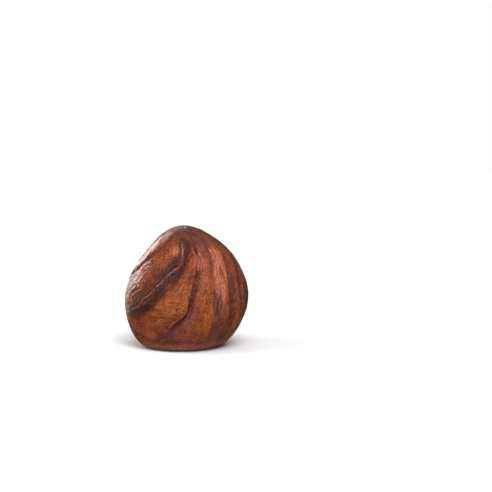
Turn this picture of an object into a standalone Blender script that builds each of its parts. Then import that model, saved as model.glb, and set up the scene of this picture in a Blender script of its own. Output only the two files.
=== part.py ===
# A shelled hazelnut: one whole kernel in its thin brown skin, grown as a single piece.
# It stands on its broad end with the blunt tip up. Metres, +Z up, the viewer at -Y.
# The origin is the middle of the small flat spot that it rests on.
# Turn is the angle round the kernel, 0 at the front and growing to the right. Rise is the share
# of the way along the outline, from 0 at the flat spot's rim to 1 at the tip.

import math

import bpy
import numpy as np

MM = 0.001

# Driving dimensions
WIDTH = 14.5 * MM  # left to right at the widest line
HEIGHT = 14.45 * MM  # floor to tip
DEPTH_SHARE = 0.95  # front to back, as a share of the width

# Half outline from the flat spot's rim up to the tip: (share of half width, share of height)
OUTLINE = [
    (0.545, 0.0),
    (0.68, 0.024),
    (0.80, 0.085),
    (0.925, 0.20),
    (1.0, 0.37),
    (0.935, 0.56),
    (0.805, 0.70),
    (0.635, 0.815),
    (0.47, 0.90),
    (0.26, 0.97),
    (0.0, 1.0),
]

# How far the middle of each ring wanders to the right of the flat spot: (share of height, mm)
SWAY = [
    (0.0, 0.0),
    (0.1, 0.28),
    (0.2, 0.48),
    (0.4, 0.70),
    (0.6, 0.87),
    (0.75, 0.93),
    (0.9, 0.70),
    (1.0, 0.40),
]
LEAN = 1.0 * MM  # the tip leans this far towards the viewer
LEAN_FROM = 0.45  # rise where the lean starts

# Slow unevenness of the rings: (waves round the ring, turn of a crest in degrees, share of radius)
WAVES = [(2, 60.0, 0.012), (3, 25.0, 0.010), (5, 10.0, 0.006)]

# Plump places: (rise, turn in degrees, reach in mm, height in mm)
LOBES = [
    (0.36, -14, 2.6, 0.35),
    (0.60, -42, 1.5, 0.22),
    (0.74, -50, 1.3, 0.15),
    (0.62, 2, 1.0, 0.12),
    (0.45, 20, 1.3, 0.16),
    (0.50, 42, 1.2, 0.12),
    (0.48, 112, 2.2, 0.25),
    (0.42, -175, 2.4, 0.25),
    (0.50, -115, 2.0, 0.25),
]

# The folds run from the tip down. Each is its path as (rise, turn in degrees) points, then in mm
# its reach to the left and to the right, its depth and the height of the raised edge on its left,
# and last the share of its path where it starts to fade.
FOLDS = {
    "left crease": (
        [(0.86, -22), (0.80, -33), (0.72, -42), (0.65, -55), (0.57, -70), (0.50, -88), (0.44, -104)],
        (0.40, 0.50, 0.24, 0.11, 0.55),
    ),
    "long fold": (
        [
            (0.89, -10),
            (0.81, -4),
            (0.76, -2),
            (0.70, -4),
            (0.64, -8),
            (0.60, -11.5),
            (0.555, -16),
            (0.50, -22),
            (0.445, -30),
            (0.40, -37),
            (0.36, -45),
            (0.325, -55),
            (0.305, -66),
            (0.30, -80),
        ],
        (1.35, 1.10, 0.62, 0.0, 0.35),
    ),
    "hook fold": (
        [
            (0.86, 3),
            (0.80, 10),
            (0.73, 14),
            (0.68, 14.5),
            (0.61, 12),
            (0.53, 8),
            (0.46, 6),
            (0.37, 5),
            (0.33, 4),
            (0.29, 0),
            (0.26, -6),
            (0.23, -11),
            (0.20, -15.5),
            (0.15, -20.5),
            (0.12, -27),
        ],
        (0.38, 0.75, 0.46, 0.14, 0.6),
    ),
    "purple fold": (
        [
            (0.88, 33),
            (0.80, 36.5),
            (0.70, 35.5),
            (0.56, 33),
            (0.47, 33),
            (0.33, 32.5),
            (0.23, 33),
            (0.16, 29),
            (0.11, 21),
        ],
        (0.55, 0.55, 0.24, 0.0, 0.6),
    ),
    "maroon fold": (
        [(0.78, 62), (0.64, 54), (0.53, 48.5), (0.43, 48), (0.33, 48.5), (0.22, 49), (0.12, 46)],
        (0.45, 0.45, 0.14, 0.0, 0.6),
    ),
    "right edge fold": (
        [(0.80, 84), (0.66, 74), (0.52, 66), (0.40, 64), (0.28, 66), (0.16, 68)],
        (0.45, 0.45, 0.14, 0.0, 0.6),
    ),
    "foot crease": (
        [(0.24, -88), (0.215, -77), (0.175, -69), (0.155, -59), (0.14, -50), (0.13, -38), (0.125, -22)],
        (0.40, 0.45, 0.16, 0.05, 0.6),
    ),
    "right back fold": (
        [(0.86, 98), (0.75, 92), (0.60, 88), (0.45, 90), (0.30, 95), (0.17, 93)],
        (0.40, 0.65, 0.42, 0.12, 0.6),
    ),
    "back right fold": (
        [(0.90, 125), (0.80, 132), (0.65, 138), (0.50, 137), (0.36, 131), (0.25, 121), (0.15, 116)],
        (0.75, 0.55, 0.44, 0.0, 0.6),
    ),
    "middle back fold": (
        [(0.93, 172), (0.82, 166), (0.67, 160), (0.50, 159), (0.36, 164), (0.24, 169), (0.13, 172)],
        (0.40, 0.50, 0.32, 0.10, 0.6),
    ),
    "back left fold": (
        [(0.92, -140), (0.80, -150), (0.66, -158), (0.52, -161), (0.38, -155), (0.26, -144), (0.17, -141)],
        (0.80, 0.95, 0.52, 0.0, 0.6),
    ),
    "left back fold": (
        [(0.86, -98), (0.74, -108), (0.62, -120), (0.50, -132), (0.38, -136), (0.28, -128), (0.18, -118)],
        (0.40, 0.55, 0.36, 0.10, 0.6),
    ),
    "left foot fold": (
        [(0.48, -104), (0.40, -107), (0.31, -109), (0.22, -108), (0.13, -103)],
        (0.42, 0.42, 0.16, 0.0, 0.6),
    ),
}
NARROW = 0.55  # share of a fold's reach where it starts near the tip
PATH_POINTS = 140

# Mesh fineness
COLUMNS = 104
ROWS = 52
SPOT_FADE = 0.07  # rise over which the relief grows from nothing at the flat spot

SKIN_COLOUR = (0.20, 0.062, 0.022, 1.0)
SKIN_ROUGHNESS = 0.5


def smooth_curve(knots, at):
    # A natural cubic spline through the knots, held level past the first and the last.
    x, y = np.array(knots, float).T
    gap = np.diff(x)
    count = len(x)
    system = np.eye(count)
    pull = np.zeros(count)
    for i in range(1, count - 1):
        system[i, i - 1 : i + 2] = gap[i - 1], 2 * (gap[i - 1] + gap[i]), gap[i]
        pull[i] = 6 * ((y[i + 1] - y[i]) / gap[i] - (y[i] - y[i - 1]) / gap[i - 1])
    bend = np.linalg.solve(system, pull)
    at = np.clip(at, x[0], x[-1])
    i = np.clip(np.searchsorted(x, at) - 1, 0, count - 2)
    before, after, step = at - x[i], x[i + 1] - at, gap[i]
    curved = (bend[i] * after**3 + bend[i + 1] * before**3) / (6 * step)
    straight = (y[i] / step - bend[i] * step / 6) * after
    straight += (y[i + 1] / step - bend[i + 1] * step / 6) * before
    return curved + straight


def smooth_step(value, low, high):
    share = np.clip((value - low) / (high - low), 0, 1)
    return share * share * (3 - 2 * share)


def outline_at(rise):
    # One mirrored point past the tip keeps the tip round.
    points = np.array(OUTLINE + [(-OUTLINE[-2][0], OUTLINE[-2][1])])
    points *= (WIDTH / 2, HEIGHT)
    lengths = np.concatenate([[0], np.cumsum(np.hypot(*np.diff(points, axis=0).T))])
    shares = lengths / lengths[-2]
    radius = smooth_curve(list(zip(shares, points[:, 0])), rise)
    height = smooth_curve(list(zip(shares, points[:, 1])), rise)
    return radius, height


def base_surface(turn, rise):
    # The kernel without its folds, and the direction that points out of it.
    radius, height = outline_at(rise)
    nudge = 1e-3
    above, below = outline_at(np.minimum(rise + nudge, 1)), outline_at(np.maximum(rise - nudge, 0))
    along_r, along_z = above[0] - below[0], above[1] - below[1]
    length = np.hypot(along_r, along_z)
    out_r, out_z = along_z / length, -along_r / length
    uneven = sum(share * np.cos(waves * (turn - math.radians(crest))) for waves, crest, share in WAVES)
    radius = radius * (1 + uneven * smooth_step(rise, 0, 0.25) * (1 - smooth_step(rise, 0.75, 1)))
    middle_x = smooth_curve([(share, mm * MM) for share, mm in SWAY], height / HEIGHT)
    middle_y = -LEAN * smooth_step(rise, LEAN_FROM, 1)
    place = np.stack(
        [
            middle_x + radius * np.sin(turn),
            middle_y - radius * np.cos(turn) * DEPTH_SHARE,
            height,
        ],
        axis=-1,
    )
    out = np.stack([out_r * np.sin(turn), -out_r * np.cos(turn), out_z], axis=-1)
    return place, out


def fold_relief(fold, place):
    # How far outwards, in mm, the fold moves each place: a valley across the fold's path with a
    # raised edge on its left, narrow at the start and faded at both ends.
    path, (left_reach, right_reach, depth, edge, fade_from) = fold
    share = np.linspace(0, 1, PATH_POINTS)
    knots = np.linspace(0, 1, len(path))
    rise = smooth_curve(list(zip(knots, [point[0] for point in path])), share)
    turn = smooth_curve(list(zip(knots, [point[1] for point in path])), share)
    line, out = base_surface(np.radians(turn), rise)
    right = np.cross(out, np.gradient(line, axis=0))
    distance = np.linalg.norm(place[..., None, :] - line, axis=-1)
    nearest = distance.argmin(axis=-1)
    side = np.sign(np.sum((place - line[nearest]) * right[nearest], axis=-1))
    across = side * distance.min(axis=-1) / MM
    along = share[nearest]
    reach = NARROW + (1 - NARROW) * smooth_step(along, 0, 0.4)
    left_reach, right_reach = left_reach * reach, right_reach * reach
    valley = depth * np.exp(-((across / np.where(across < 0, left_reach, right_reach)) ** 2))
    raised = edge * np.exp(-((across / left_reach + 1.6) ** 2))
    return (raised - valley) * smooth_step(along, 0, 0.3) * (1 - smooth_step(along, fade_from, 1))


def surface(turn, rise):
    place, out = base_surface(turn, rise)
    relief = sum(fold_relief(fold, place) for fold in FOLDS.values())
    for lobe_rise, lobe_turn, reach, height in LOBES:
        middle, _ = base_surface(np.array(math.radians(lobe_turn)), np.array(lobe_rise))
        distance = np.linalg.norm(place - middle, axis=-1) / MM
        relief = relief + height * np.exp(-((distance / reach) ** 2))
    relief = relief * smooth_step(rise, 0, SPOT_FADE) * MM
    return place + out * relief[..., None]


def kernel_mesh():
    # Rings of points from the flat spot's rim to the tip, closed by the spot and a fan at the tip.
    turn, rise = np.meshgrid(
        np.linspace(-math.pi, math.pi, COLUMNS, endpoint=False),
        np.linspace(0, 1, ROWS + 1)[:-1],
    )
    rings = surface(turn, rise).reshape(-1, 3)
    tip = surface(np.array(0.0), np.array(1.0))
    points = np.vstack([rings, tip])
    faces = []
    for row in range(ROWS - 1):
        low, high = row * COLUMNS, (row + 1) * COLUMNS
        for column in range(COLUMNS):
            beside = (column + 1) % COLUMNS
            faces.append((low + column, low + beside, high + beside, high + column))
    last = (ROWS - 1) * COLUMNS
    for column in range(COLUMNS):
        faces.append((last + column, last + (column + 1) % COLUMNS, len(points) - 1))
    faces.append(tuple(reversed(range(COLUMNS))))
    mesh = bpy.data.meshes.new("kernel")
    mesh.from_pydata(points.tolist(), [], faces)
    mesh.shade_smooth()
    return mesh


def skin_material():
    material = bpy.data.materials.new("brown skin")
    material.use_nodes = True
    shader = material.node_tree.nodes["Principled BSDF"]
    shader.inputs["Base Color"].default_value = SKIN_COLOUR
    shader.inputs["Roughness"].default_value = SKIN_ROUGHNESS
    return material


def main():
    for obj in list(bpy.data.objects):
        bpy.data.objects.remove(obj)
    mesh = kernel_mesh()
    mesh.materials.append(skin_material())
    kernel = bpy.data.objects.new("kernel", mesh)
    bpy.context.scene.collection.objects.link(kernel)


main()
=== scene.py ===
import math

import bpy
import numpy as np
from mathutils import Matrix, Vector


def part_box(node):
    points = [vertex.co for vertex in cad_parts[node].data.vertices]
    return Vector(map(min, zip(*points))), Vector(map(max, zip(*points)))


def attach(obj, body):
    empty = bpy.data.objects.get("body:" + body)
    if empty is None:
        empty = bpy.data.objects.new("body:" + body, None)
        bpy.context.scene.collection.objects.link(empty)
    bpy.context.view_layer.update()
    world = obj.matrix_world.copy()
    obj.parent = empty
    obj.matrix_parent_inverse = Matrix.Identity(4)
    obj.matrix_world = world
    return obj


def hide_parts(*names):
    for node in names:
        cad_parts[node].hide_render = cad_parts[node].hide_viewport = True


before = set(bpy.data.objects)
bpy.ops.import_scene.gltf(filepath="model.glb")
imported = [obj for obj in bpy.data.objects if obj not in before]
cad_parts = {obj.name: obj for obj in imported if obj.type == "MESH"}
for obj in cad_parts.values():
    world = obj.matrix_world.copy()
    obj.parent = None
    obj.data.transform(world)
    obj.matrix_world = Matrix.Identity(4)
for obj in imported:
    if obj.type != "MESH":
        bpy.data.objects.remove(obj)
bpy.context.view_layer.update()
kernelLow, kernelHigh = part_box("kernel")
mm = 0.001

# The kernel's plain form. Shares are of the half width and of the height, the rest is in mm.
kernelForm = {
    "width": 14.5,
    "depthShare": 0.95,
    "outline": [
        (0.545, 0.0), (0.68, 0.024), (0.80, 0.085), (0.925, 0.20), (1.0, 0.37), (0.935, 0.56),
        (0.805, 0.70), (0.635, 0.815), (0.47, 0.90), (0.26, 0.97), (0.0, 1.0),
    ],
    "sway": [
        (0.0, 0.0), (0.1, 0.28), (0.2, 0.48), (0.4, 0.70), (0.6, 0.87), (0.75, 0.93), (0.9, 0.70),
        (1.0, 0.40),
    ],
    "lean": 1.0,
    "leanFrom": 0.45,
    "waves": [(2, 60, 0.012), (3, 25, 0.010), (5, 10, 0.006)],  # waves round, turn of a crest, share
    "wavesFade": (0.25, 0.75),
    "lobes": [  # rise, turn, reach, height
        (0.36, -14, 2.6, 0.35),
        (0.60, -42, 1.5, 0.22),
        (0.74, -50, 1.3, 0.15),
        (0.62, 2, 1.0, 0.12),
        (0.45, 20, 1.3, 0.16),
        (0.50, 42, 1.2, 0.12),
        (0.48, 112, 2.2, 0.25),
        (0.42, -175, 2.4, 0.25),
        (0.50, -115, 2.0, 0.25),
    ],
    "spotFade": 0.07,
    "columns": 484,
    "rows": 204,
}

# Each fold: its path as (rise, turn) from the tip down; then in mm its reach to the left and to the
# right, its depth, below zero where its sides swell, the height of its raised left edge, the depth of
# the sharp cut along its line and the share of the path where it starts to fade; then how maroon and
# how plum it is.
folds = {
    "leftCrease": (
        [(0.86, -22), (0.80, -33), (0.72, -42), (0.65, -55), (0.57, -70), (0.50, -88), (0.44, -104)],
        (0.90, 0.14, -0.20, 0.0, 0.30, 0.62), (0.1, 0.1),
    ),
    "outerCrease": (
        [(0.90, -60), (0.86, -65), (0.80, -70), (0.71, -77), (0.62, -87), (0.54, -96)],
        (0.22, 0.20, 0.04, 0.05, 0.16, 0.6), (0.3, 0.2),
    ),
    "longFold": (
        [
            (0.89, -10), (0.81, -4), (0.76, -2), (0.70, -4), (0.64, -8), (0.60, -11.5), (0.555, -16),
            (0.50, -22), (0.445, -30), (0.40, -37), (0.36, -45), (0.325, -55), (0.305, -66), (0.30, -80),
        ],
        (1.35, 1.10, 0.62, 0.0, 0.0, 0.35), (1.0, 0.25),
    ),
    "hookFold": (
        [
            (0.86, 3), (0.80, 10), (0.73, 14), (0.68, 15), (0.61, 13.5), (0.53, 10), (0.46, 7.5),
            (0.37, 5), (0.33, 4), (0.29, 0), (0.26, -6), (0.23, -11), (0.20, -15.5), (0.15, -20.5),
            (0.12, -27),
        ],
        (0.24, 0.56, 0.42, 0.16, 0.34, 0.6), (0.3, 0.75),
    ),
    "purpleFold": (
        [
            (0.88, 33), (0.80, 36.5), (0.70, 35.5), (0.56, 33), (0.47, 33), (0.33, 32.5), (0.23, 33),
            (0.16, 29), (0.11, 21),
        ],
        (0.55, 0.55, 0.22, 0.0, 0.04, 0.6), (0.3, 0.9),
    ),
    "maroonFold": (
        [(0.78, 62), (0.64, 54), (0.53, 48.5), (0.43, 48), (0.33, 48.5), (0.22, 49), (0.12, 46)],
        (0.40, 0.40, 0.12, 0.0, 0.04, 0.6), (0.7, 0.2),
    ),
    "rightEdgeFold": (
        [(0.80, 84), (0.66, 74), (0.52, 66), (0.40, 64), (0.28, 66), (0.16, 68)],
        (0.40, 0.40, 0.12, 0.0, 0.03, 0.6), (0.7, 0.2),
    ),
    "footCrease": (
        [(0.24, -88), (0.215, -77), (0.175, -69), (0.155, -59), (0.14, -50), (0.13, -38), (0.125, -22)],
        (0.26, 0.26, 0.06, 0.06, 0.10, 0.6), (0.5, 0.3),
    ),
    "rightBackFold": (
        [(0.86, 98), (0.75, 92), (0.60, 88), (0.45, 90), (0.30, 95), (0.17, 93)],
        (0.30, 0.65, 0.40, 0.12, 0.14, 0.6), (0.5, 0.7),
    ),
    "backRightFold": (
        [(0.90, 125), (0.80, 132), (0.65, 138), (0.50, 137), (0.36, 131), (0.25, 121), (0.15, 116)],
        (0.75, 0.55, 0.42, 0.0, 0.06, 0.6), (0.8, 0.3),
    ),
    "middleBackFold": (
        [(0.93, 172), (0.82, 166), (0.67, 160), (0.50, 159), (0.36, 164), (0.24, 169), (0.13, 172)],
        (0.28, 0.50, 0.30, 0.10, 0.16, 0.6), (0.3, 0.8),
    ),
    "backLeftFold": (
        [(0.92, -140), (0.80, -150), (0.66, -158), (0.52, -161), (0.38, -155), (0.26, -144), (0.17, -141)],
        (0.80, 0.95, 0.52, 0.0, 0.0, 0.6), (0.9, 0.3),
    ),
    "leftBackFold": (
        [(0.86, -98), (0.74, -108), (0.62, -120), (0.50, -132), (0.38, -136), (0.28, -128), (0.18, -118)],
        (0.28, 0.55, 0.34, 0.10, 0.18, 0.6), (0.5, 0.7),
    ),
    "leftFootFold": (
        [(0.48, -104), (0.40, -107), (0.31, -109), (0.22, -108), (0.13, -103)],
        (0.40, 0.40, 0.14, 0.0, 0.05, 0.6), (0.7, 0.2),
    ),
}
crossFolds = ("footCrease", "leftFootFold", "outerCrease", "leftCrease")  # the fibres don't follow these
narrowStart = 0.55  # share of a fold's reach where it starts near the tip
narrowUntil = 0.4  # share of its path where the reach is whole
strongFrom = 0.3  # share of its path where the depth is whole
cutWidth = 0.13  # mm
edgePlace = 1.6  # where a raised edge lies, counted in reaches left of the line
colourReach = (1.15, 1.25)  # how far a fold's colour spreads to its left and right, in reaches
colourFade = (0.12, 0.75)  # shares of the path between which the colour is whole
pathPoints = 160
flowRise = 0.62  # where the fibres' turns are counted
flowSpread = 0.01  # keeps a fold's pull on the fibres finite on its own line

# Single wrinkles: path, half width in mm, height in mm, below zero where it is a furrow
wrinkles = {
    "thread": (
        [
            (0.61, -12), (0.575, -18), (0.54, -23.5), (0.50, -28), (0.47, -33), (0.43, -37.5),
            (0.40, -42.5), (0.36, -48.5),
        ],
        0.08, 0.045,
    ),
    "topVein": (
        [(0.86, 0), (0.80, -3), (0.76, -1.5), (0.73, -5.5), (0.69, -5), (0.655, -9.5), (0.62, -11)],
        0.08, 0.03,
    ),
    "foldA": ([(0.67, -8), (0.63, -12.5), (0.60, -19), (0.56, -24.5), (0.52, -31)], 0.13, -0.09),
    "foldB": ([(0.65, -2), (0.63, -5), (0.59, -10), (0.565, -15), (0.53, -19.5)], 0.12, -0.08),
    "foldC": ([(0.70, -13), (0.66, -17), (0.62, -22), (0.58, -28), (0.55, -34)], 0.12, -0.07),
    "foldD": ([(0.64, -9), (0.60, -14), (0.575, -20), (0.54, -26)], 0.10, 0.05),
    "wormA": ([(0.46, -44), (0.44, -52), (0.41, -59), (0.375, -61), (0.355, -54.5)], 0.10, 0.06),
    "wormB": ([(0.42, -40), (0.39, -45), (0.35, -49), (0.33, -56), (0.34, -63)], 0.10, 0.06),
    "wormC": ([(0.48, -52), (0.46, -58), (0.425, -65), (0.38, -67), (0.34, -70)], 0.10, 0.06),
    "paleA": ([(0.31, -60), (0.26, -59.5), (0.21, -57.5)], 0.10, 0.028),
    "paleB": ([(0.30, -52), (0.26, -51.5), (0.225, -49)], 0.10, 0.025),
    "paleC": ([(0.32, -66), (0.27, -67), (0.23, -65)], 0.10, 0.025),
    "lobeCut": ([(0.42, 21), (0.44, 26), (0.43, 31), (0.46, 35)], 0.11, -0.05),
    "backA": ([(0.62, -168), (0.55, -171), (0.48, -170), (0.42, -165)], 0.13, -0.08),
    "backB": ([(0.66, 148), (0.58, 150), (0.50, 147), (0.43, 143)], 0.12, -0.08),
    "backC": ([(0.58, -124), (0.50, -122), (0.42, -124), (0.35, -122)], 0.12, -0.07),
    "sideA": ([(0.64, 104), (0.56, 101), (0.47, 103), (0.38, 107), (0.30, 106)], 0.12, -0.07),
}

wrinkleFade = (0.2, 0.8)  # shares of the path between which a wrinkle is whole
fullRidge = 0.045  # mm, a ridge this high is as pale as any

# Bands where the skin is darker or more purple: path as above, half width in mm. The wine bands are
# partly painted shade along the folds; the darkest band is painted shadow along the long fold's
# lower right side.
bands = {
    "wine": [
        ([(0.78, -4), (0.71, -5), (0.65, -8), (0.60, -13), (0.55, -19)], 0.35),
        ([(0.40, 9), (0.33, 8), (0.27, 3), (0.22, -4), (0.18, -11), (0.13, -19), (0.10, -26)], 0.75),
    ],
    "dark": [([(0.52, -14), (0.44, -24), (0.38, -34), (0.33, -46), (0.30, -59), (0.28, -76)], 1.05)],
}
bandFade = (0.25, 0.75)

# Places where the skin's colour differs: rise, turn, reach across and along the fibres in mm
stains = {
    "glow": [
        (0.375, -10, 1.5, 2.2), (0.27, -22, 0.8, 0.9), (0.16, -36, 1.0, 0.8), (0.27, 22, 1.3, 2.0),
        (0.52, 18, 0.6, 1.6), (0.42, 20, 0.9, 2.0), (0.47, 39, 0.7, 1.4), (0.63, -38, 0.8, 1.2),
        (0.60, 3, 0.5, 1.2), (0.62, 61, 0.7, 1.5), (0.28, 59, 0.7, 1.6), (0.45, 112, 1.6, 2.4),
        (0.42, -178, 1.6, 2.6), (0.50, -115, 1.3, 2.2), (0.62, 160, 0.8, 1.4), (0.30, -150, 1.1, 1.8),
    ],
    "wine": [
        (0.63, 15, 0.4, 1.2), (0.38, 31, 0.5, 1.4), (0.29, 3, 0.6, 0.7), (0.23, -6, 0.7, 0.7),
        (0.18, -16, 0.6, 0.6), (0.24, 43, 0.9, 1.0), (0.12, 10, 2.0, 0.8), (0.14, 38, 1.6, 0.8),
        (0.50, 88, 0.8, 1.6), (0.55, 140, 0.8, 1.6), (0.35, -130, 1.0, 1.6), (0.20, 170, 1.5, 1.0),
    ],
    # Painted shade: darker skin down the right side and on the shoulder right of the tip
    "dark": [
        (0.38, 76, 0.7, 2.4), (0.88, 15, 2.0, 1.0), (0.81, 75, 1.8, 1.6),
        (0.66, 92, 1.4, 1.8), (0.42, 88, 1.0, 2.0), (0.20, 80, 1.4, 1.3), (0.55, -160, 0.9, 1.5),
    ],
    "patch": [
        (0.385, -54, 1.2, 1.2), (0.44, -66, 1.1, 1.0), (0.495, -46, 0.5, 0.6), (0.36, -150, 0.7, 0.9),
    ],
    # Redder skin; on the right side partly painted light, which lightens that side
    "ruddy": [
        (0.66, 6, 0.8, 1.8), (0.70, -22, 1.0, 1.6), (0.60, 26, 1.0, 2.4), (0.52, 54, 1.8, 4.2),
        (0.36, 64, 1.6, 3.2), (0.55, -60, 0.8, 1.6), (0.55, 120, 1.6, 2.6), (0.50, -170, 1.6, 2.6),
        (0.60, -130, 1.4, 2.2), (0.3, 150, 1.4, 1.6),
    ],
    # Partly paler pink skin, partly painted highlight: the satin sheen on the upper right and upper left
    "salmon": [
        (0.65, 42, 1.0, 1.8), (0.48, 38.5, 0.4, 1.8), (0.55, 44, 0.4, 1.8), (0.57, 33, 0.35, 1.0),
        (0.72, -16, 0.6, 0.8), (0.70, -64, 0.7, 1.4), (0.50, 33, 0.5, 1.8), (0.66, 16, 0.35, 1.4),
        (0.38, -74, 0.45, 1.0), (0.6, -140, 0.7, 1.4), (0.58, 118, 0.8, 1.6),
    ],
    "streaky": [
        (0.40, 62, 3.0, 3.6), (0.70, 60, 3.0, 2.4), (0.78, -40, 2.2, 1.8), (0.62, -80, 1.8, 2.2),
        (0.86, 0, 4.0, 1.6), (0.5, 150, 1.8, 2.6),
    ],
    # Mauve: pinker skin beside the hooked fold's line, partly painted highlight
    "mauve": [(0.65, 19.5, 0.34, 1.4), (0.76, -5, 0.3, 1.0), (0.52, -155, 0.4, 1.5)],
    # Painted highlight: a pale pinkish band where the satin highlight runs along the upper left
    "scuff": [
        (0.77, -60, 0.7, 1.4), (0.685, -68, 0.75, 1.3), (0.60, -82, 0.6, 1.3), (0.83, -44, 0.9, 0.9),
    ],
}

# Where what the colours follow is shown: from and to, as a rise or as a share of the fold's path
shown = {
    "tip": (0.78, 0.95),
    "foot": (0.02, 0.17),
    "rim": (0.12, 0.80),
    "hookLine": (0.10, 0.75),
    "creaseLine": (0.08, 0.85),
}

# Fine relief of the skin. Sizes across and along the fibres and heights are in mm.
skinRelief = {
    "swell": (2.6, 0.07),
    "dimple": (0.9, 0.030),
    "vein": (0.60, 5.0, 0.055),
    "fibre": (0.30, 3.2, 0.034),
    "patch": (0.50, 0.075),  # crumpled skin left of the long fold
    "pleat": (0.9, 0.38, 0.040),  # short cross wrinkles
    "pleatShares": (0.4, 0.6, 1.4),  # how high they are anywhere, more on a lobe and at the hookEdge
    "pebble": (0.34, 0.030),
    "tip": (0.60, 0.030),
    "bend": (0.8, 0.25),  # how the patterns wander
    "sweep": (0.9, 0.20),
    "plainVein": 0.25,  # share of the veins' height outside the folds and streaky places
    "plainFibre": 0.4,
    "tipRise": (0.80, 0.95),  # where the skin turns into that of the tip
    "tipCalm": 0.7,  # how much of the veins and fibres is lost there
    "hookEdge": (-0.8, 0.65),  # the strongest pleats, left of the hooked fold: middle, reach
    # painted highlight: a pale strip on the hooked fold's raised lip
    "hookRimHighlight": (-0.28, 0.13),  # its pale rim: middle, reach
}
farAway = 9.0  # mm
noiseGain = 1.6  # brings the noise to about -1 to 1


def smoothCurve(knots, at):
    # A natural cubic spline through the knots, held level past the first and the last.
    x, y = np.array(knots, float).T
    gap = np.diff(x)
    count = len(x)
    system = np.eye(count)
    pull = np.zeros(count)
    for i in range(1, count - 1):
        system[i, i - 1 : i + 2] = gap[i - 1], 2 * (gap[i - 1] + gap[i]), gap[i]
        pull[i] = 6 * ((y[i + 1] - y[i]) / gap[i] - (y[i] - y[i - 1]) / gap[i - 1])
    bend = np.linalg.solve(system, pull)
    at = np.clip(at, x[0], x[-1])
    i = np.clip(np.searchsorted(x, at) - 1, 0, count - 2)
    before, after, step = at - x[i], x[i + 1] - at, gap[i]
    curved = (bend[i] * after**3 + bend[i + 1] * before**3) / (6 * step)
    straight = (y[i] / step - bend[i] * step / 6) * after
    straight += (y[i + 1] / step - bend[i + 1] * step / 6) * before
    return curved + straight


def smoothStep(value, low, high):
    share = np.clip((value - low) / (high - low), 0, 1)
    return share * share * (3 - 2 * share)


def fadeEnds(share, full, fade):
    # 0 at both ends, 1 from full to fade
    return smoothStep(share, 0, full) * (1 - smoothStep(share, fade, 1))


def outlineAt(rise):
    # Radius and height in mm: a spline through the outline's points, by length along them. One
    # mirrored point past the tip keeps the tip round. The third value is the outline's length.
    form = kernelForm
    height = (kernelHigh.z - kernelLow.z) / mm
    points = np.array(form["outline"] + [(-form["outline"][-2][0], form["outline"][-2][1])])
    points *= (form["width"] / 2, height)
    lengths = np.concatenate([[0], np.cumsum(np.hypot(*np.diff(points, axis=0).T))])
    shares = lengths / lengths[-2]
    radius = smoothCurve(list(zip(shares, points[:, 0])), rise)
    up = smoothCurve(list(zip(shares, points[:, 1])), rise)
    return radius, up, lengths[-2]


def baseSurface(turn, rise):
    # Each ring is a near circle of the outline's radius, swayed, leaned and a little uneven. The
    # second value points out of it, square to the outline.
    form = kernelForm
    radius, up, _ = outlineAt(rise)
    nudge = 1e-3
    above, below = outlineAt(np.minimum(rise + nudge, 1)), outlineAt(np.maximum(rise - nudge, 0))
    alongR, alongZ = above[0] - below[0], above[1] - below[1]
    length = np.hypot(alongR, alongZ)
    outR, outZ = alongZ / length, -alongR / length
    uneven = np.zeros(np.shape(turn))
    for waves, crest, share in form["waves"]:
        uneven = uneven + share * np.cos(waves * (turn - math.radians(crest)))
    radius = radius * (1 + uneven * fadeEnds(rise, *form["wavesFade"]))
    middleX = smoothCurve(form["sway"], up * mm / (kernelHigh.z - kernelLow.z))
    middleY = -form["lean"] * smoothStep(rise, form["leanFrom"], 1)
    sideways, backwards = np.sin(turn), -np.cos(turn)
    deep = middleY + radius * backwards * form["depthShare"]
    place = np.stack([middleX + radius * sideways, deep, up], axis=-1)
    out = np.stack([outR * sideways, outR * backwards, outZ], axis=-1)
    return place, out


def foldDistance(path, place):
    # The nearest point of the fold's path: signed distance across it in mm, right of it positive,
    # and the share of the path where it lies.
    share = np.linspace(0, 1, pathPoints)
    knots = np.linspace(0, 1, len(path))
    rise = smoothCurve(list(zip(knots, [point[0] for point in path])), share)
    turn = smoothCurve(list(zip(knots, [point[1] for point in path])), share)
    line, out = baseSurface(np.radians(turn), rise)
    right = np.cross(out, np.gradient(line, axis=0))
    right /= np.linalg.norm(right, axis=-1, keepdims=True)
    flat = place.reshape(-1, 3)
    square = (flat**2).sum(-1)[:, None] - 2 * flat @ line.T + (line**2).sum(-1)
    nearest = square.argmin(axis=-1)
    offset = flat - line[nearest]
    side = np.sign((offset * right[nearest]).sum(-1))
    across = side * np.linalg.norm(offset, axis=-1)
    return across.reshape(place.shape[:-1]), share[nearest].reshape(place.shape[:-1])


def foldRelief(fold, across, along):
    # A valley with two bell-shaped sides and a raised bell on its left, in mm, and how far into the
    # fold each place is, from 0 to 1.
    leftReach, rightReach, depth, edge, cut, fadeFrom = fold[1]
    reach = narrowStart + (1 - narrowStart) * smoothStep(along, 0, narrowUntil)
    leftReach, rightReach = leftReach * reach, rightReach * reach
    inside = np.exp(-((across / np.where(across < 0, leftReach, rightReach)) ** 2))
    raised = edge * np.exp(-((across / leftReach + edgePlace) ** 2))
    raised -= cut * np.exp(-np.abs(across) / cutWidth)
    spread = np.where(across < 0, colourReach[0] * leftReach, colourReach[1] * rightReach)
    wide = np.exp(-((across / spread) ** 2))
    relief = (raised - depth * inside) * fadeEnds(along, strongFrom, fadeFrom)
    return relief, wide * fadeEnds(along, *colourFade)


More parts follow.
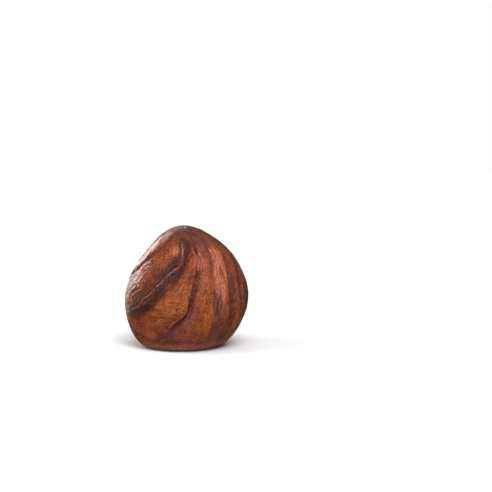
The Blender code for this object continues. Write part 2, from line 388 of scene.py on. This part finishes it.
def waveNoise(point, seed):
    # Gradient noise: a random slope at each whole-number corner, blended between the corners.
    random = np.random.default_rng(seed)
    order = random.permutation(256)
    slopes = random.normal(size=(256, 3))
    slopes /= np.linalg.norm(slopes, axis=-1, keepdims=True)
    cell = np.floor(point).astype(int)
    within = point - cell
    blend = within**3 * (within * (within * 6 - 15) + 10)
    total = np.zeros(point.shape[:-1])
    for corner in np.ndindex(2, 2, 2):
        at = cell + corner
        pick = order[(order[(order[at[..., 0] & 255] + at[..., 1]) & 255] + at[..., 2]) & 255]
        weight = np.where(corner, blend, 1 - blend).prod(axis=-1)
        total += weight * ((within - corner) * slopes[pick]).sum(-1)
    return total * noiseGain


def flowTurn(turn, rise):
    # The turn that a fibre has at flowRise: each long fold pulls the fibres near it along its own
    # path, more the nearer they are.
    pull, weights = 0, 0
    for name, fold in folds.items():
        if name in crossFolds:
            continue
        path = np.array(fold[0][::-1], float)
        foldTurn = np.radians(np.interp(rise, path[:, 0], path[:, 1]))
        startTurn = math.radians(np.interp(flowRise, path[:, 0], path[:, 1]))
        away = (turn - foldTurn + math.pi) % (2 * math.pi) - math.pi
        weight = 1 / (away**2 + flowSpread)
        pull = pull + weight * (startTurn - foldTurn)
        weights = weights + weight
    return turn + pull / weights


def lobeShare(place, rise, turn, reach):
    # A round bell on the plain form, 1 at its middle
    middle, _ = baseSurface(np.array(math.radians(turn)), np.array(rise))
    return np.exp(-((np.linalg.norm(place - middle, axis=-1) / reach) ** 2))


def fibreGrid(turn, rise):
    # Places counted in mm along the fibres and round the kernel, so a pattern follows them
    girth, length = kernelForm["width"] / 2, outlineAt(np.array(0.5))[2]
    flow = flowTurn(turn, rise)
    return np.stack([girth * np.cos(flow), girth * np.sin(flow), rise * length], axis=-1)


def stainShare(places, grain):
    # A bell round each place, longer along the fibres; the highest one counts
    share = np.zeros(grain.shape[:-1])
    for rise, turn, across, along in places:
        offset = (grain - fibreGrid(np.array(math.radians(turn)), np.array(rise))) / (across, across, along)
        share = np.maximum(share, np.exp(-(offset**2).sum(-1)))
    return share


def bandShare(paths, place):
    # A bell across each path that fades at both ends; the highest one counts
    share = np.zeros(place.shape[:-1])
    for path, width in paths:
        away, along = foldDistance(path, place)
        share = np.maximum(share, np.exp(-((away / width) ** 2)) * fadeEnds(along, *bandFade))
    return share


def kernelSurface(turn, rise):
    # The plain form moved outwards by the folds, the plump lobes and the skin's fine relief. It also
    # gives what the skin's colours follow.
    place, out = baseSurface(turn, rise)
    grain = fibreGrid(turn, rise)
    relief = np.zeros(turn.shape)
    maroon, plum, inFold = np.zeros(turn.shape), np.zeros(turn.shape), np.zeros(turn.shape)
    across, along = {}, {}
    for name, fold in folds.items():
        across[name], along[name] = foldDistance(fold[0], place)
        move, within = foldRelief(fold, across[name], along[name])
        relief += move
        # The fold colours: partly the skin's own tint, partly painted shade, and for plum painted sheen
        maroon = np.maximum(maroon, within * fold[2][0])
        plum = np.maximum(plum, within * fold[2][1])
        inFold = np.maximum(inFold, within)
    lobe = np.zeros(turn.shape)
    for lobeRise, lobeTurn, reach, height in kernelForm["lobes"]:
        bell = lobeShare(place, lobeRise, lobeTurn, reach)
        relief += height * bell
        lobe = np.maximum(lobe, bell)
    stain = {name: stainShare(places, grain) for name, places in stains.items()}
    for name, paths in bands.items():
        stain[name] = np.maximum(stain[name], bandShare(paths, place))
    ridge, furrow = np.zeros(turn.shape), np.zeros(turn.shape)
    for path, width, height in wrinkles.values():
        away, share = foldDistance(path, place)
        line = np.exp(-((away / width) ** 2)) * fadeEnds(share, *wrinkleFade)
        relief += height * line
        ridge = np.maximum(ridge, line * np.clip(height / fullRidge, 0, 1))
        furrow = np.maximum(furrow, line * (height < 0))

    # Patterns bend a little, so they look grown and not ruled
    nearTip = smoothStep(rise, *skinRelief["tipRise"])
    calm = 1 - skinRelief["tipCalm"] * nearTip
    size, most = skinRelief["bend"]
    bent = place + most * np.stack([waveNoise(place / size, seed) for seed in (11, 12, 13)], axis=-1)
    size, most = skinRelief["sweep"]
    swept = grain + most * np.stack([waveNoise(place / size, seed) for seed in (14, 15, 16)], axis=-1)
    size, height = skinRelief["swell"]
    relief += height * waveNoise(place / size, 1)
    size, height = skinRelief["dimple"]
    relief += height * waveNoise(place / size, 2)
    spacing, run, height = skinRelief["vein"]
    vein = 1 - 2 * np.abs(waveNoise(swept / (spacing, spacing, run), 3))
    plain = skinRelief["plainVein"]
    relief += height * vein * (plain + (1 - plain) * np.maximum(inFold, stain["streaky"])) * calm
    spacing, run, height = skinRelief["fibre"]
    fibre = waveNoise(swept / (spacing, spacing, run), 4)
    plain = skinRelief["plainFibre"]
    relief += height * fibre * (plain + (1 - plain) * stain["streaky"]) * calm
    size, height = skinRelief["patch"]
    crumple = 1 - 2 * np.abs(waveNoise(bent / size, 5))
    relief += height * crumple * stain["patch"]
    spacing, run, height = skinRelief["pleat"]
    pleat = waveNoise(swept / (spacing, spacing, run), 6)
    middle, reach = skinRelief["hookEdge"]
    hookEdge = np.exp(-(((across["hookFold"] - middle) / reach) ** 2))
    anywhere, onLobe, atEdge = skinRelief["pleatShares"]
    relief += height * pleat * (anywhere + onLobe * lobe + atEdge * hookEdge)
    size, height = skinRelief["pebble"]
    relief += height * (1 - 2 * np.abs(waveNoise(bent / size, 7)))
    size, height = skinRelief["tip"]
    relief += height * waveNoise(place / size, 8) * nearTip
    relief *= smoothStep(rise, 0, kernelForm["spotFade"])

    def lineOf(name, first, last):
        # Distance to a fold's line in mm, far away outside the shown part of it
        isShown = (along[name] > first) & (along[name] < last)
        return np.where(isShown, across[name], farAway)

    rimPlace, rimWidth = skinRelief["hookRimHighlight"]
    rim = np.exp(-(((lineOf("hookFold", *shown["rim"]) - rimPlace) / rimWidth) ** 2))
    creases = ("leftCrease", "outerCrease", "footCrease", "leftBackFold", "middleBackFold", "rightBackFold")
    follow = {
        "grain": grain,
        "maroon": maroon,
        "plum": plum,
        "rim": rim,
        "ridge": ridge,
        "furrow": furrow,
        "hookLine": np.abs(lineOf("hookFold", *shown["hookLine"])),
        "creaseLine": np.min([np.abs(lineOf(name, *shown["creaseLine"])) for name in creases], axis=0),
        "tip": smoothStep(rise, *shown["tip"]),
        "foot": 1 - smoothStep(rise, *shown["foot"]),
        "nearTip": nearTip,
    }
    follow.update(stain)
    return place + out * relief[..., None], follow


def addNode(tree, kind, links=(), output=0, **settings):
    # One node with its settings. links gives its inputs what feeds or fills them, and the socket at
    # output is handed back.
    node = tree.nodes.new("ShaderNode" + kind)
    for key, value in settings.items():
        setattr(node, key, value)
    for key, value in dict(links).items():
        if isinstance(value, bpy.types.NodeSocket):
            tree.links.new(value, node.inputs[key])
        else:
            node.inputs[key].default_value = value
    return node.outputs[output] if node.outputs else node


def linear(hexColour):
    # sRGB hex to linear colour
    parts = [int(hexColour[i : i + 2], 16) / 255 for i in (1, 3, 5)]
    return tuple(p / 12.92 if p <= 0.04045 else ((p + 0.055) / 1.055) ** 2.4 for p in parts) + (1.0,)


# Hazelnut testa: a dry, papery seed skin that shrank onto the nut.
skinLook = {
    "colours": {
        "lobe": "#833b12",  # orange-brown of the plump lobes
        "lobeDark": "#632910",
        "glow": "#9f4f12",
        # ruddy: on the right partly painted light, which lightens that side
        "ruddy": "#9a3f1c",  # redder skin near the tip and on the right
        # maroon, plum and wine: darker, more purple skin in the folds, partly painted shade, plum partly
        # painted sheen
        "maroon": "#40120c",
        "plum": "#5c2a28",
        "wine": "#64312d",
        # painted shade: near-black red-brown for the shade on the right and below the long fold
        "dark": "#3f150b",
        # tip: darker red-brown over the top, partly painted shade
        "tip": "#4c1d12",
        "foot": "#a05f46",
        "patch": "#553a2a",
        # near-black: random specks, and painted shade in the creases and furrows
        "speckAndCreaseShade": "#260a06",
        # salmon: partly paler skin, partly painted highlight of the satin sheen
        "salmon": "#c66d4b",
        # painted highlight on the hooked fold's raised lip
        "rim": "#b8653c",
        # mauve: partly pinker skin, partly painted highlight beside the hooked fold
        "mauve": "#a2625c",
        # painted highlight: pale pink for the band along the upper left
        "scuff": "#b57d6a",
        "thread": "#b98f7c",
    },
    # Each pattern: what it follows, its size in mm along the three axes, detail, roughness
    "patterns": {
        "vein": ("grain", (0.42, 0.42, 4.5), 2.0, 0.5),
        "fibre": ("grain", (0.17, 0.17, 1.6), 2.0, 0.6),
        "pleat": ("grain", (0.75, 0.75, 0.27), 2.0, 0.6),
        "cloud": ("place", (1.6, 1.6, 1.6), 3.0, 0.5),
        "mottle": ("place", (0.62, 0.62, 0.62), 4.0, 0.65),
        "pebble": ("place", (0.23, 0.23, 0.23), 2.0, 0.6),
        "grit": ("place", (0.15, 0.15, 0.15), 1.0, 0.6),
    },
    # Each layer of colour: the colour, what it follows, a pattern and that pattern's weight, then the
    # values where it starts and is full, and how strong it gets
    "layers": [
        ("lobe", "", "cloud", 1.0, 0.36, 0.62, 1.0),
        ("glow", "glow", "mottle", 0.8, 0.45, 1.45, 0.60),
        ("ruddy", "ruddy", "mottle", 0.8, 0.50, 1.20, 0.80),
        ("lobeDark", "", "mottle", 1.0, 0.46, 0.70, 0.45),
        ("maroon", "streaky", "vein", 2.2, 1.45, 2.10, 0.75),
        ("maroon", "streaky", "fibre", 2.4, 1.70, 2.25, 0.60),
        ("glow", "streaky", "fibre", -2.4, -0.70, -0.15, 0.70),
        ("maroon", "maroon", "mottle", 1.2, 0.75, 1.50, 0.90),
        ("plum", "plum", "mottle", 1.2, 0.80, 1.60, 0.85),
        ("wine", "wine", "mottle", 1.0, 0.75, 1.50, 0.7),
        ("dark", "dark", "mottle", 1.0, 0.70, 1.50, 0.85),
        ("tip", "tip", "pebble", 0.6, 0.35, 1.20, 0.8),
        ("foot", "foot", "mottle", 0.6, 0.45, 1.20, 0.7),
        ("patch", "patch", "pebble", 1.4, 0.85, 1.60, 0.80),
        ("salmon", "salmon", "fibre", 2.0, 1.10, 1.95, 0.75),
        ("mauve", "mauve", "fibre", 1.2, 0.85, 1.60, 0.80),
        ("scuff", "scuff", "fibre", 1.2, 0.80, 1.75, 0.62),
        ("rim", "rim", "pebble", 1.2, 0.95, 1.55, 0.60),
        ("speckAndCreaseShade", "", "grit", 1.0, 0.62, 0.80, 0.12),
        # Painted shade: near-black along the crease lines, the hooked fold's line and the furrows
        ("speckAndCreaseShade", "crease", "mottle", 0.15, 0.65, 0.95, 0.85),
        ("speckAndCreaseShade", "hook", "mottle", 0.30, 0.85, 1.10, 0.75),
        ("speckAndCreaseShade", "furrow", "mottle", 0.6, 0.60, 1.30, 0.60),
        ("thread", "ridge", "pebble", 1.6, 1.20, 2.00, 0.50),
    ],
    # How much each pattern lightens and darkens the colour under it. The same patterns lift the skin,
    # so its raised bits come out paler and its hollows darker: partly the skin's own mottled tone,
    # partly painted highlight and shade on the fine relief.
    "tones": {"pebble": 1.6, "grit": 1.8, "pleat": 1.0, "fibre": 1.3, "mottle": 0.3},
    # Height in mm that each pattern lifts the skin by
    "lifts": {"fibre": 0.08, "vein": 0.06, "pleat": 0.11, "pebble": 0.20, "grit": 0.08, "mottle": 0.08},
    "toneLimits": (0.42, 2.2),
    "lineWidth": 0.13,  # mm
    "roughness": (0.25, 0.43),
    "tipRoughness": 0.12,  # more towards the tip
    "ior": 1.46,
}


def kernelSkin():
    # Satin and red-brown: fibres run from the tip to the foot, fine pebbles break every highlight,
    # and the folds are darker and more purple than the plump lobes, partly as painted shade and sheen.
    material = bpy.data.materials.new("driedSeedSkin")
    material.use_nodes = True
    tree = material.node_tree
    shader = tree.nodes["Principled BSDF"]
    colour = {name: linear(value) for name, value in skinLook["colours"].items()}

    follow = {
        "place": addNode(tree, "TexCoord", output="Object"),
        "grain": addNode(tree, "Attribute", output="Vector", attribute_name="grain"),
    }
    followed = [layer[1] for layer in skinLook["layers"]] + ["hookLine", "creaseLine", "nearTip"]
    for name in sorted(set(followed) - {"", "hook", "crease"}):
        follow[name] = addNode(tree, "Attribute", output="Fac", attribute_name=name)
    # A line is 1 at its middle and 0 at its width
    for name in ("hook", "crease"):
        limits = {"Value": follow[name + "Line"], "From Max": skinLook["lineWidth"]}
        limits.update({"To Min": 1.0, "To Max": 0.0})
        follow[name] = addNode(tree, "MapRange", limits, interpolation_type="SMOOTHSTEP")

    pattern = {}
    for name, (source, size, detail, roughness) in skinLook["patterns"].items():
        unit = mm if source == "place" else 1.0
        scale = [1 / (length * unit) for length in size]
        mapped = addNode(tree, "Mapping", {"Vector": follow[source], "Scale": scale})
        shape = {"Vector": mapped, "Scale": 1.0, "Detail": detail, "Roughness": roughness}
        pattern[name] = addNode(tree, "TexNoise", shape)

    base = colour["lobeDark"]
    for name, source, mark, weight, start, full, most in skinLook["layers"]:
        ground = follow[source] if source else 0.0
        value = addNode(tree, "Math", {0: pattern[mark], 1: weight, 2: ground}, operation="MULTIPLY_ADD")
        limits = {"Value": value, "From Min": start, "From Max": full, "To Min": 0.0, "To Max": most}
        share = addNode(tree, "MapRange", limits, interpolation_type="SMOOTHSTEP")
        base = addNode(tree, "Mix", {0: share, 6: base, 7: colour[name]}, output=2, data_type="RGBA")

    tone = 1 - sum(skinLook["tones"].values()) / 2
    for name, weight in skinLook["tones"].items():
        tone = addNode(tree, "Math", {0: pattern[name], 1: weight, 2: tone}, operation="MULTIPLY_ADD")
    low, high = skinLook["toneLimits"]
    tone = addNode(tree, "Clamp", {"Value": tone, "Min": low, "Max": high})
    base = addNode(tree, "VectorMath", {0: base, "Scale": tone}, operation="SCALE")

    lift = 0.0
    for name, height in skinLook["lifts"].items():
        lift = addNode(tree, "Math", {0: pattern[name], 1: height, 2: lift}, operation="MULTIPLY_ADD")
    bump = addNode(tree, "Bump", {"Height": lift, "Distance": mm, "Strength": 1.0})
    low, high = skinLook["roughness"]
    rough = addNode(tree, "MapRange", {"Value": pattern["mottle"], "To Min": low, "To Max": high})
    drier = {0: follow["nearTip"], 1: skinLook["tipRoughness"], 2: rough}
    rough = addNode(tree, "Math", drier, operation="MULTIPLY_ADD")

    tree.links.new(base, shader.inputs["Base Color"])
    tree.links.new(rough, shader.inputs["Roughness"])
    tree.links.new(bump, shader.inputs["Normal"])
    shader.inputs["IOR"].default_value = skinLook["ior"]
    return material


def makeKernel():
    columns, rows = kernelForm["columns"], kernelForm["rows"]
    turn, rise = np.meshgrid(
        np.linspace(-math.pi, math.pi, columns, endpoint=False),
        np.linspace(0, 1, rows + 1)[:-1],
    )
    grid, follow = kernelSurface(turn, rise)
    tipPoint, tipFollow = kernelSurface(np.array([[0.0]]), np.array([[1.0]]))
    points = np.vstack([grid.reshape(-1, 3), tipPoint.reshape(-1, 3), [[0, 0, 0]]]) * mm

    # Fit the finished points to the CAD node's box, side by side
    low, high = points.min(axis=0), points.max(axis=0)
    boxLow, boxHigh = np.array(kernelLow), np.array(kernelHigh)
    points = boxLow + (points - low) / (high - low) * (boxHigh - boxLow)

    ring = np.arange(columns)
    beside = np.roll(ring, -1)
    start = np.arange(rows - 1)[:, None] * columns
    corners = [start + ring, start + beside, start + columns + beside, start + columns + ring]
    quads = np.stack(corners, axis=-1)
    last = (rows - 1) * columns
    tipIndex, spotIndex = len(points) - 2, len(points) - 1
    tipFan = np.stack([last + ring, last + beside, np.full(columns, tipIndex)], axis=-1)
    spotFan = np.stack([beside, ring, np.full(columns, spotIndex)], axis=-1)
    mesh = bpy.data.meshes.new("kernelSkin")
    mesh.from_pydata(points, [], quads.reshape(-1, 4).tolist() + tipFan.tolist() + spotFan.tolist())
    mesh.shade_smooth()
    for name, values in follow.items():
        perPoint = np.concatenate([values.ravel(), tipFollow[name].ravel(), values[0, 0].ravel()])
        kind, field = ("FLOAT_VECTOR", "vector") if name == "grain" else ("FLOAT", "value")
        layer = mesh.attributes.new(name, kind, "POINT")
        layer.data.foreach_set(field, perPoint.astype(np.float32))
    kernel = bpy.data.objects.new("kernelSkin", mesh)
    bpy.context.scene.collection.objects.link(kernel)
    mesh.materials.append(kernelSkin())
    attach(kernel, "root")
    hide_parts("kernel")
    print("kernel:", len(mesh.polygons), "faces")


# The photograph's view. The kernel's middle and width are pixels of the 492 by 492 photograph.
view = {
    "frame": 492,
    "kernelMiddle": (186.5, 285.2),
    "kernelWidth": 124.2,
    "elevation": 6,  # degrees
    "lens": 100,  # mm
    "sensor": 36,
}


def makeCamera():
    pixel = (kernelHigh.x - kernelLow.x) / view["kernelWidth"]
    distance = view["frame"] * pixel * view["lens"] / view["sensor"]
    tilt = math.radians(view["elevation"])
    back = Vector((0, -math.cos(tilt), math.sin(tilt)))
    up = Vector((0, math.sin(tilt), math.cos(tilt)))
    right = Vector((1, 0, 0))
    half = view["frame"] / 2
    middle = (kernelLow + kernelHigh) / 2
    seenX, seenY = view["kernelMiddle"]
    aim = middle + right * (half - seenX) * pixel + up * (seenY - half) * pixel
    lens = bpy.data.cameras.new("studioCamera")
    lens.lens = view["lens"]
    lens.sensor_width = view["sensor"]
    lens.clip_start = mm
    camera = bpy.data.objects.new("studioCamera", lens)
    camera.location = aim + back * distance
    camera.rotation_euler = back.to_track_quat("Z", "Y").to_euler()
    bpy.context.scene.collection.objects.link(camera)
    bpy.context.scene.camera = camera
    print("camera:", round(distance / mm, 1), "mm away")


studio = {
    "tableSize": 0.8,  # metres
    "tableColour": "#f6f6f6",
    "tableGap": 0.01,  # mm that keeps the table's face off the flat spot
    "roomLight": 0.14,
    "lightDistance": 0.3,
    # Each soft light: turn round the kernel, elevation and width in degrees, strength, and whether it
    # falls on matt surfaces and shows in gloss
    "lights": {
        "windowLeft": (-146, 20, 28, 3.0, False, True),
        "sideLeft": (-82, 34, 34, 1.3, True, False),
        "frontPanel": (17, 47, 40, 2.4, True, False),
        "frontGlint": (-6, 50, 10, 2.0, False, True),
        "rightPanel": (74, 42, 24, 1.0, False, True),
        "overhead": (0, 80, 80, 1.2, True, False),
    },
}


def makeStudio():
    size = studio["tableSize"] / 2
    under = kernelLow.z - studio["tableGap"] * mm
    corners = [(-size, -size, under), (size, -size, under), (size, size, under), (-size, size, under)]
    mesh = bpy.data.meshes.new("tableTop")
    mesh.from_pydata(corners, [], [(0, 1, 2, 3)])
    table = bpy.data.objects.new("tableTop", mesh)
    bpy.context.scene.collection.objects.link(table)
    paint = bpy.data.materials.new("mattWhiteLaminate")  # no gloss, so it takes soft grey shadows
    paint.use_nodes = True
    finish = paint.node_tree.nodes["Principled BSDF"].inputs
    finish["Base Color"].default_value = linear(studio["tableColour"])
    finish["Roughness"].default_value = 0.9
    finish["Specular IOR Level"].default_value = 0.0
    mesh.materials.append(paint)
    table.visible_glossy = False  # a white table would veil the dark skin

    for name, (turn, elevation, width, strength, onMatt, inGloss) in studio["lights"].items():
        light = bpy.data.lights.new(name, "SUN")
        light.energy = strength
        light.angle = math.radians(width)
        lamp = bpy.data.objects.new(name, light)
        side, up = math.radians(turn), math.radians(elevation)
        towards = Vector((math.sin(side) * math.cos(up), -math.cos(side) * math.cos(up), math.sin(up)))
        lamp.rotation_euler = towards.to_track_quat("Z", "Y").to_euler()
        lamp.location = towards * studio["lightDistance"]
        lamp.visible_diffuse = onMatt
        lamp.visible_glossy = inGloss
        bpy.context.scene.collection.objects.link(lamp)

    world = bpy.data.worlds.new("whiteRoom")
    bpy.context.scene.world = world
    world.use_nodes = True
    tree = world.node_tree
    tree.nodes.clear()
    seen = addNode(tree, "LightPath", output="Is Camera Ray")
    room = addNode(tree, "Background", {"Color": (1, 1, 1, 1), "Strength": studio["roomLight"]})
    white = addNode(tree, "Background", {"Color": (1, 1, 1, 1), "Strength": 1.0})
    addNode(tree, "OutputWorld", {"Surface": addNode(tree, "MixShader", {0: seen, 1: room, 2: white})})
    bpy.context.scene.view_settings.view_transform = "Standard"
    print("studio: table and", len(studio["lights"]), "lights")


makeCamera()
makeKernel()
makeStudio()
